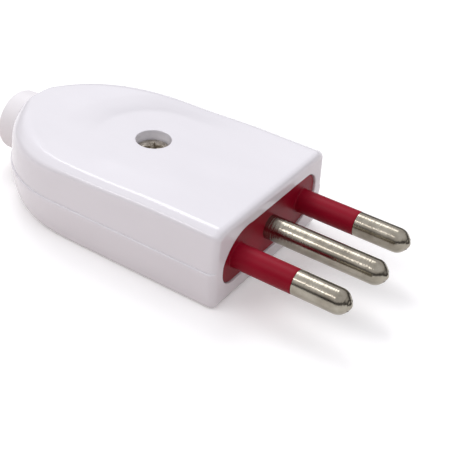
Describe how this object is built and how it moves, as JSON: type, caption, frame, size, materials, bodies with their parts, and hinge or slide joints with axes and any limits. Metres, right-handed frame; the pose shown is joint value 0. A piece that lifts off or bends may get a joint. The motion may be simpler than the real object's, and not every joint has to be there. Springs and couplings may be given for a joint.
{
  "type": "rewireable grounded plug",
  "caption": "White two-shell rewireable plug with round pins in line, red part-sleeved live pins, a bare earth pin, a single housing screw and a round cable guard.",
  "frame": {"origin": "on the earth pin's axis at the engagement face, which is the front face of the housing", "axes": "+X the way the pins point, +Y across the row of pins towards the neutral pin, +Z the side with the housing screw"},
  "size_m": [0.0724, 0.0332, 0.0141],
  "materials": {
    "housing_white": "glossy moulded plastic",
    "carrier_red": "satin moulded plastic",
    "guard_white": "soft satin plastic",
    "clamp_plastic": "satin moulded plastic",
    "nickel_pin": "bright nickel plating on turned brass",
    "plated_screw": "zinc-plated steel",
    "brass_nut": "turned brass"
  },
  "bodies": {
    "root": {"upper_shell": "housing_white", "lower_shell": "housing_white", "pin_carrier": "carrier_red", "cable_guard": "guard_white", "cord_clamp": "clamp_plastic", "housing_screw": "plated_screw", "housing_nut": "brass_nut", "line_pin": "nickel_pin", "neutral_pin": "nickel_pin", "earth_pin": "nickel_pin", "line_clamping_plate": "plated_screw", "neutral_clamping_plate": "plated_screw", "earth_clamping_plate": "plated_screw", "line_terminal_screw": "plated_screw", "neutral_terminal_screw": "plated_screw", "earth_terminal_screw": "plated_screw", "near_clamp_screw": "plated_screw", "far_clamp_screw": "plated_screw"}
  },
  "joints": []
}
